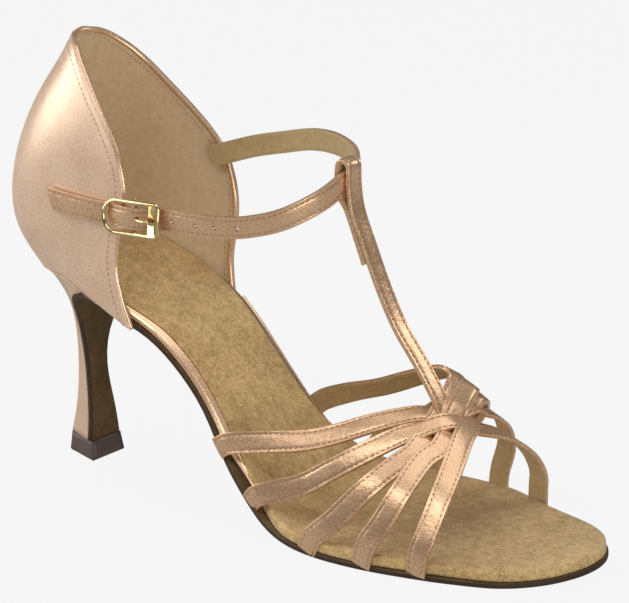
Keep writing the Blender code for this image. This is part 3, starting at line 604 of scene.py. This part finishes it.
def lay_strap(name, line, outward, width, slant=0.0, replaced=()):
    """A strap along a line that its face follows: a grid bent to the line, thickened behind, and sewn."""
    frames = []
    for i, point in enumerate(line):
        ahead = (line[min(i + 1, len(line) - 1)] - line[max(i - 1, 0)]).normalized()
        out = outward[i] - ahead * outward[i].dot(ahead)
        out.normalize()
        frames.append((point, ahead, out, ahead.cross(out)))
    mesh = bmesh.new()
    sheet = mesh.loops.layers.uv.new("strap")
    rows = len(line)
    bmesh.ops.create_grid(mesh, x_segments=len(ACROSS) - 1, y_segments=rows - 1, size=0.5)
    pitch = 1 / (rows - 1)
    shares = {}
    length = sum((q - p).length for p, q in zip(line, line[1:]))
    for vert in mesh.verts:
        row = round((vert.co.y + 0.5) / pitch)
        share = ACROSS[round((vert.co.x + 0.5) * (len(ACROSS) - 1))]
        shares[vert] = (share, row)
    for vert, (share, row) in shares.items():
        point, ahead, out, across = frames[row]
        from_edge = min(share, 1 - share) * width
        crown = STRAP_CROWN * (1 - (2 * share - 1) ** 2)
        dip = SEAM_DIP * math.exp(-(((from_edge - SEAM_INSET) / SEAM_DIP_HALF) ** 2))
        vert.co = point + across * ((share - 0.5) * width) + out * (crown - dip)
        if slant and rows - row < SLANT_ROWS:
            vert.co += ahead * (slant * (2 * share - 1) * (1 - (rows - 1 - row) / SLANT_ROWS))
    for face in mesh.faces:
        for loop in face.loops:
            share, row = shares[loop.vert]
            loop[sheet].uv = (share * width, row * pitch * length)
    mesh.normal_update()
    mesh.faces.ensure_lookup_table()
    if mesh.faces[0].normal.dot(frames[shares[mesh.faces[0].verts[0]][1]][2]) < 0:
        bmesh.ops.reverse_faces(mesh, faces=mesh.faces)
    made = bpy.data.meshes.new(name)
    mesh.to_mesh(made)
    mesh.free()
    strap = finished(name, made, "satin", strap_satin, strap_lining, replaced=replaced)
    wall = strap.modifiers.new("backing", "SOLIDIFY")
    wall.thickness = STRAP_THICKNESS
    wall.offset = -1
    wall.use_even_offset = False
    wall.material_offset = 1
    wall.material_offset_rim = 0
    fold = strap.modifiers.new("fold", "BEVEL")
    fold.width = FOLD_WIDTH
    fold.segments = 2
    fold.limit_method = "ANGLE"
    fold.angle_limit = FOLD_CORNER
    for side in (-1, 1):
        reach = side * (width / 2 - SEAM_INSET)
        path = [p + a * reach + o * THREAD_HEIGHT for p, _, o, a in frames[1:-1]]
        sew(path, [o for _, _, o, _ in frames[1:-1]])
    return strap


VAMP_WIDTH = 0.0070
VAMP_STRAPS = {
    "strap_rear_outer": [
        (73.1, -26.5, 23.9), (77.5, -26.7, 25.7), (87.3, -25.3, 27.9), (102.4, -21.5, 30.5),
        (112.2, -17.7, 33.5), (121.1, -13.0, 37.2), (129.5, -7.0, 40.0), (136.9, -1.8, 41.5),
        (142.4, 3.2, 40.9), (143.1, 11.0, 40.3), (142.8, 17.6, 38.3), (142.6, 23.8, 35.4),
        (142.2, 30.5, 29.9), (138.6, 37.3, 20.5), (133.7, 40.6, 9.8), (132.4, 41.2, 2.1),
    ],
    "strap_second_outer": [
        (89.5, -31.2, 10.7), (93.7, -32.0, 13.7), (107.3, -28.0, 18.9), (117.1, -24.5, 25.3),
        (125.5, -18.9, 31.0), (133.1, -11.8, 35.8), (139.5, -5.4, 37.9), (143.5, -1.1, 38.3),
        (147.5, 4.2, 37.0), (148.4, 13.1, 34.0), (149.7, 22.4, 29.7), (151.7, 30.5, 22.7),
        (152.2, 35.1, 15.3), (151.1, 36.8, 8.9), (150.2, 37.7, 2.1),
    ],
    "strap_rear_inner": [
        (71.0, 21.5, 19.0), (74.6, 24.2, 25.2), (86.6, 23.8, 31.1), (101.5, 22.9, 36.5),
        (116.4, 20.6, 43.2), (129.7, 17.7, 48.5), (135.7, 14.8, 47.8), (138.6, 8.2, 45.0),
        (139.5, 2.4, 42.3), (140.2, -5.4, 37.9), (140.0, -14.1, 32.7), (137.1, -20.4, 29.1),
        (132.9, -28.7, 23.5), (125.3, -35.5, 13.4), (118.6, -37.2, 7.0), (116.0, -37.1, 2.5),
    ],
    "strap_second_inner": [
        (90.6, 30.3, 9.9), (95.3, 31.6, 15.5), (109.7, 33.5, 24.5), (123.1, 29.9, 34.5),
        (133.1, 23.3, 42.3), (139.1, 16.8, 45.9), (141.1, 11.5, 44.6), (143.7, 3.6, 41.8),
        (146.2, -3.5, 38.4), (147.3, -9.8, 34.6), (145.7, -16.9, 32.0), (145.1, -27.9, 24.5),
        (142.2, -34.2, 15.3), (138.2, -36.3, 8.4), (136.2, -36.5, 2.1),
    ],
    "strap_third_inner": [
        (109.3, 39.3, 3.2), (112.4, 39.6, 9.7), (121.7, 36.8, 21.8), (132.4, 30.3, 33.1),
        (139.3, 22.3, 40.8), (142.4, 15.0, 42.8), (145.5, 8.8, 40.3), (149.3, 2.6, 38.6),
        (151.1, -3.4, 36.7), (154.2, -12.7, 31.5), (156.6, -22.7, 24.3), (156.6, -31.0, 13.7),
        (155.3, -33.2, 8.0), (154.6, -33.4, 2.1),
    ],
}
# The weave, upper strap first at each crossing.
WEAVE = [
    ("strap_rear_inner", "strap_rear_outer"),
    ("strap_second_inner", "strap_rear_outer"),
    ("strap_rear_outer", "strap_third_inner"),
    ("strap_second_outer", "strap_rear_inner"),
    ("strap_second_outer", "strap_second_inner"),
    ("strap_third_inner", "strap_second_outer"),
]
WEAVE_LIFT = 0.0009
WEAVE_REACH = 0.0082
END_DROP = 0.8
lines = {}
for name, rows in VAMP_STRAPS.items():
    ends = [(x, y, z - END_DROP) for x, y, z in (rows[0], rows[-1])]
    lines[name] = route([ends[0], *rows[1:-1], ends[1]])
lifts = {name: [0.0] * len(line) for name, line in lines.items()}
for upper, lower in WEAVE:
    here, there = min(
        ((i, j) for i in range(len(lines[upper])) for j in range(len(lines[lower]))),
        key=lambda pair: (lines[upper][pair[0]] - lines[lower][pair[1]]).length,
    )
    over = vamp_outward(lines[upper][here]).normalized()
    gap = (lines[upper][here] - lines[lower][there]).dot(over)
    for name, at, way in ((upper, here, 1), (lower, there, -1)):
        for i, point in enumerate(lines[name]):
            far = (point - lines[name][at]).length
            if far < WEAVE_REACH:
                share = 0.5 * (1 + math.cos(math.pi * far / WEAVE_REACH))
                lifts[name][i] += share * way * (WEAVE_LIFT - gap / 2)
for name, line in lines.items():
    outward = [vamp_outward(point) for point in line]
    laid = [point + out.normalized() * lift for point, out, lift in zip(line, outward, lifts[name])]
    lay_strap(name, laid, outward, VAMP_WIDTH, replaced=("upper_straps",))


# The T-bar: a narrower strap of the same satin, sewn under the knot. It runs up the instep, turns over the
# ankle strap as a loop and is sewn down behind itself.
T_BAR_WIDTH = 0.0066
T_BAR_LINE = [
    (142.0, 2.0, 37.4), (138.6, 2.0, 44.6), (132.0, 2.0, 54.3), (123.3, 2.0, 65.6), (116.9, 2.0, 77.4),
    (111.5, 2.0, 89.6), (107.5, 2.0, 99.2), (106.2, 2.0, 106.9), (105.9, 2.0, 113.8), (103.2, 2.0, 115.4),
    (100.9, 2.0, 113.7), (100.8, 2.0, 104.4), (104.2, 2.0, 99.2), (108.2, 2.0, 89.6), (110.8, 2.0, 83.1),
]
line = route(T_BAR_LINE)
turned_out = []
for i in range(len(line)):
    run = line[min(i + 1, len(line) - 1)] - line[max(i - 1, 0)]
    turned_out.append(Vector((run.z, 0, -run.x)))
lay_strap("t_bar", line, turned_out, T_BAR_WIDTH)


# The ankle strap: satin over suede, sewn inside the counter's inner front edge. It runs through the T-bar's
# loop and the buckle to a slanted tail, and is punched with a row of pinholes.
ANKLE_WIDTH = 0.0070
ANKLE_LINE = [
    (32.4, 23.7, 100.0), (38.0, 23.8, 101.4), (48.9, 24.5, 105.2), (60.0, 24.7, 108.2),
    (73.1, 23.8, 111.5), (84.0, 21.7, 112.5), (94.0, 17.4, 111.9), (100.9, 11.6, 110.7),
    (104.0, 4.5, 109.2), (104.2, -3.0, 107.3), (103.1, -9.8, 104.7), (98.9, -16.1, 101.4),
    (93.7, -20.3, 98.7), (86.6, -23.6, 96.6), (78.9, -25.5, 95.2), (65.1, -26.4, 94.0),
    (54.6, -26.3, 93.7), (48.4, -26.6, 93.0), (43.1, -28.6, 92.7), (37.3, -28.6, 92.4),
    (31.7, -27.2, 92.2), (25.3, -27.5, 92.1), (15.3, -27.6, 92.5), (8.0, -27.5, 93.0),
]
HOLE_PLACES = (0.0442, 0.0566, 0.0660, 0.0733, 0.0810)
HOLE_RADIUS = 0.00085
PUNCH_LENGTH = 0.006
ANKLE_FRONT = 0.038
FRONT_SHARE = 0.6
TAIL_SLANT = 0.0015
line = route(ANKLE_LINE)
round_ankle = [Vector((max(point.x - ANKLE_FRONT, 0) * FRONT_SHARE, point.y, 0)) for point in line]
ankle = lay_strap(
    "ankle_strap_satin", line, round_ankle, ANKLE_WIDTH, slant=TAIL_SLANT, replaced=("ankle_strap",)
)
punches = bmesh.new()
for x in HOLE_PLACES:
    near = min((p for p in line if p.y < 0), key=lambda p: abs(p.x - x))
    bmesh.ops.create_cone(
        punches, cap_ends=True, segments=16, radius1=HOLE_RADIUS, radius2=HOLE_RADIUS, depth=PUNCH_LENGTH,
        matrix=Matrix.Translation(Vector((x, near.y, near.z))) @ Matrix.Rotation(math.radians(90), 4, "X"),
    )
punch_mesh = bpy.data.meshes.new("punches")
punches.to_mesh(punch_mesh)
punches.free()
punch = bpy.data.objects.new("punches", punch_mesh)
scene.collection.objects.link(punch)
pierced = ankle.modifiers.new("holes", "BOOLEAN")
pierced.operation = "DIFFERENCE"
pierced.solver = "EXACT"
pierced.object = punch
ankle.modifiers.move(2, 1)
graph = bpy.context.evaluated_depsgraph_get()
pierced_mesh = bpy.data.meshes.new_from_object(ankle.evaluated_get(graph))
ankle.modifiers.clear()
ankle.data = pierced_mesh
bpy.data.objects.remove(punch, do_unlink=True)


# The thread: every lockstitch of the counter's and the straps' seams, sewn by machine in one peach thread,
# darkened with painted shade. It is laid as one piece once the last strap is in its place.
sewing_mesh = bpy.data.meshes.new("stitching")
sewing.to_mesh(sewing_mesh)
sewing.free()
finished("stitching", sewing_mesh, "satin", thread_with_painted_shade.material)


# The buckle: a cast frame plated in polished pale gold, with a round end, a broad front bar and a pin on its
# centre bar. A short satin tab folded round that bar is sewn to the counter.
BUCKLE_CORNER = math.radians(50)
gold_finish = Finish("gold")
gold_wear = gold_finish.noise(gold_finish.place(), 900, 3.0)
gold_finish.feed(
    Base_Color=gold_finish.blend(gold_wear, (0.64, 0.49, 0.23), (0.74, 0.59, 0.33)),
    Metallic=1.0, Roughness=gold_wear * 0.08 + 0.05,
)
for name, node, slot, material in (
    ("frame_gold", "buckle_frame", "gold", gold_finish.material),
    ("prong_gold", "buckle_prong", "gold", gold_finish.material),
    ("tab", "buckle_tab", "satin", heel_satin),
):
    merged = bmesh.new()
    merged.from_mesh(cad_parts[node].data)
    bmesh.ops.remove_doubles(merged, verts=merged.verts, dist=SAME_POINT)
    made = bpy.data.meshes.new(node)
    merged.to_mesh(made)
    merged.free()
    finished(name, made, slot, material, replaced=(node,))
    made.set_sharp_from_angle(angle=BUCKLE_CORNER)


# The floor and the studio: a pale paper sweep that glows evenly and throws nothing back, five softboxes,
# and a room that is pale underfoot, dark at eye level and grey overhead.
FLOOR_SIZE = 6.0
FLOOR_GAP = 0.0002
PAPER_GLOW = 0.905
SHOE_MIDDLE = Vector((0.08, 0.0, 0.06))
BACKDROP = (0.93, 0.93, 0.93)
# The room's grey, from straight below to straight above.
ROOM = [(0.0, 0.50), (0.38, 0.46), (0.45, 0.34), (0.52, 0.10), (0.62, 0.10), (0.82, 0.22), (1.0, 0.40)]
floor_shape = bmesh.new()
bmesh.ops.create_grid(floor_shape, x_segments=1, y_segments=1, size=FLOOR_SIZE / 2)
floor_mesh = bpy.data.meshes.new("floor")
floor_shape.to_mesh(floor_mesh)
floor_shape.free()
floor = bpy.data.objects.new("floor", floor_mesh)
floor.location.z = -FLOOR_GAP
scene.collection.objects.link(floor)
floor.visible_diffuse = floor.visible_glossy = floor.visible_transmission = floor.visible_shadow = False
paper = Finish("paper")
paper.feed(
    Base_Color=(0.02, 0.02, 0.02), Roughness=0.9, Specular_IOR_Level=0.0,
    Emission_Color=(1.0, 1.0, 1.0), Emission_Strength=PAPER_GLOW,
)
floor_mesh.materials.append(paper.material)


def soft_light(name, place, size, glow):
    """A rectangular softbox aimed at the shoe; its glow is its radiance, whatever its size."""
    data = bpy.data.lights.new(name, "AREA")
    data.shape = "RECTANGLE"
    data.size, data.size_y = size
    data.energy = glow * math.pi * size[0] * size[1]
    made = bpy.data.objects.new(name, data)
    made.location = Vector(place)
    made.rotation_euler = (SHOE_MIDDLE - made.location).to_track_quat("-Z", "Y").to_euler()
    scene.collection.objects.link(made)


soft_light("overhead", (0.08, -0.62, 0.86), (0.7, 0.32), 3.0)
soft_light("top", (0.10, 0.10, 1.00), (0.9, 0.7), 1.2)
soft_light("left", (-0.95, -0.50, 0.48), (1.0, 0.9), 3.4)
soft_light("right", (1.05, -0.55, 0.16), (0.7, 0.6), 3.6)
soft_light("behind", (0.55, 0.85, 0.52), (0.35, 0.25), 4.0)
room = Finish("studio", bpy.data.worlds.new("studio"))
way = room.node("ShaderNodeTexCoord", {}, {}, "Generated")
height = room.node("ShaderNodeSeparateXYZ", {}, {0: way}, "Z") * 0.5 + 0.5
tones = room.ramp(height, [(place, (glow, glow, glow)) for place, glow in ROOM])
seen = room.node("ShaderNodeLightPath", {}, {}, "Is Camera Ray")
room.feed(Color=room.blend(seen, tones, BACKDROP))
scene.world = room.material
